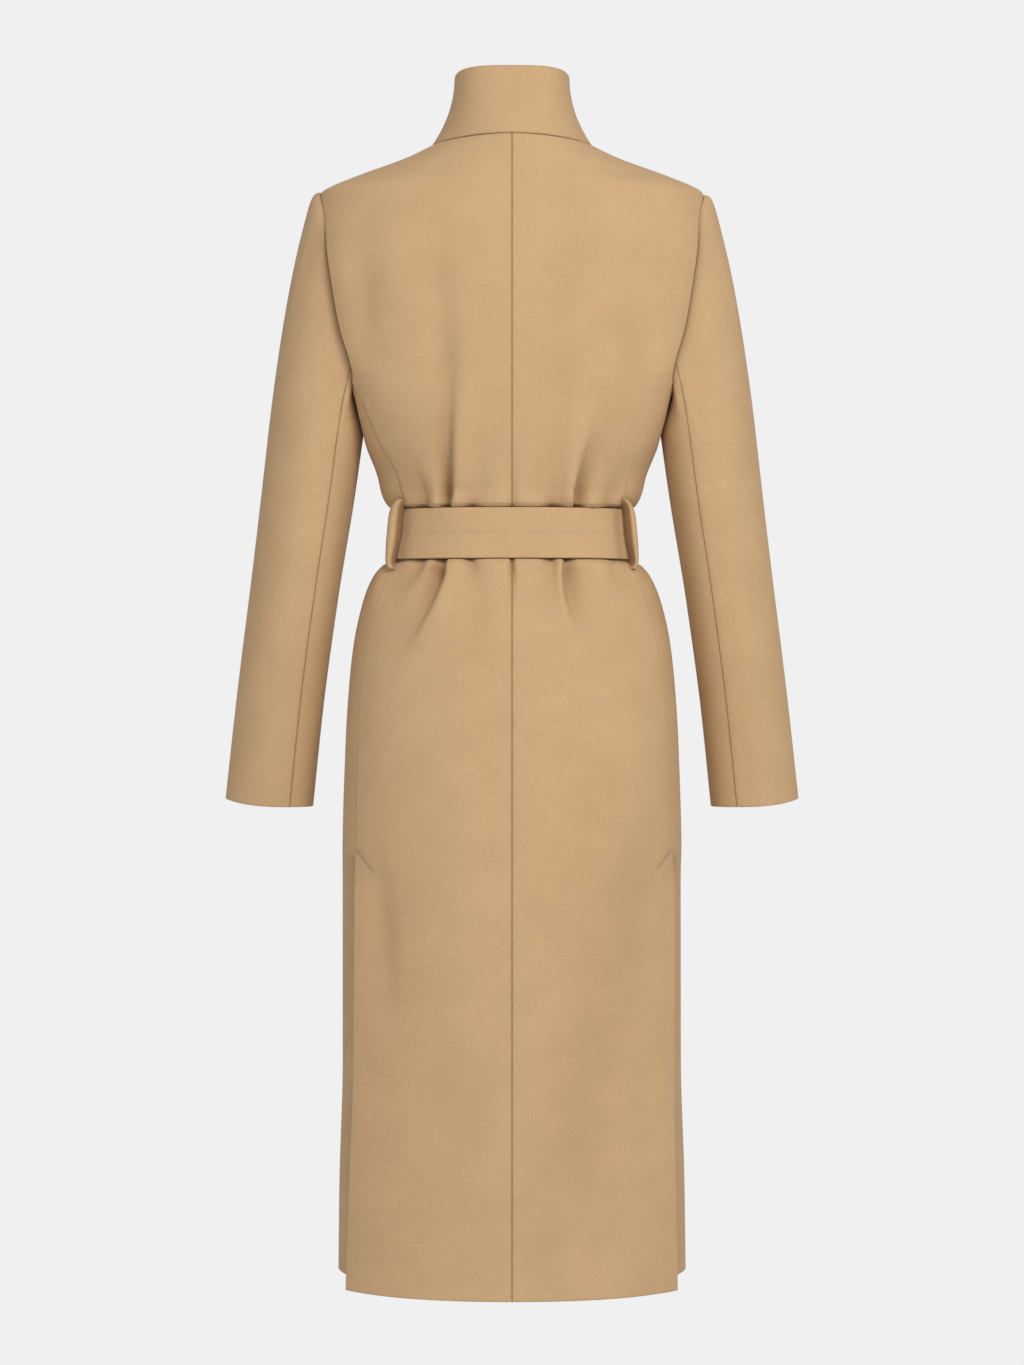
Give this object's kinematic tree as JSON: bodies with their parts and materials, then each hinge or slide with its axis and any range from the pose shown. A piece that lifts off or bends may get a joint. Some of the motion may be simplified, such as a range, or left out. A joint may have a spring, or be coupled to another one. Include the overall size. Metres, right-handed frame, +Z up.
{
  "type": "long belted coat",
  "caption": "Long hollow wool coat in its worn form: funnel collar, wrap front, seamed sleeves, side vents and a tie belt through side loops; open neck, cuffs and hem.",
  "frame": {"origin": "inside the neck opening, level with the side neck points, where the coat hangs on a wearer's shoulders", "axes": "+Z up along the coat, +X to the wearer's left, -Y to the wearer's front"},
  "size_m": [0.5972, 0.2597, 1.2453],
  "materials": {
    "coat_wool": "soft brushed wool, matt",
    "belt_wool": "soft brushed wool, matt"
  },
  "bodies": {
    "root": {"bodice_back_left": "coat_wool", "skirt_back_left": "coat_wool", "bodice_back_right": "coat_wool", "skirt_back_right": "coat_wool", "bodice_front_left": "coat_wool", "skirt_front_left": "coat_wool", "bodice_front_right": "coat_wool", "skirt_front_right": "coat_wool", "sleeve_upper_left": "coat_wool", "sleeve_upper_right": "coat_wool", "sleeve_under_left": "coat_wool", "sleeve_under_right": "coat_wool", "collar": "coat_wool", "belt_loop_left": "coat_wool", "belt_loop_right": "coat_wool", "belt": "belt_wool", "belt_knot": "belt_wool", "belt_tail_left": "belt_wool", "belt_tail_right": "belt_wool"}
  },
  "joints": []
}
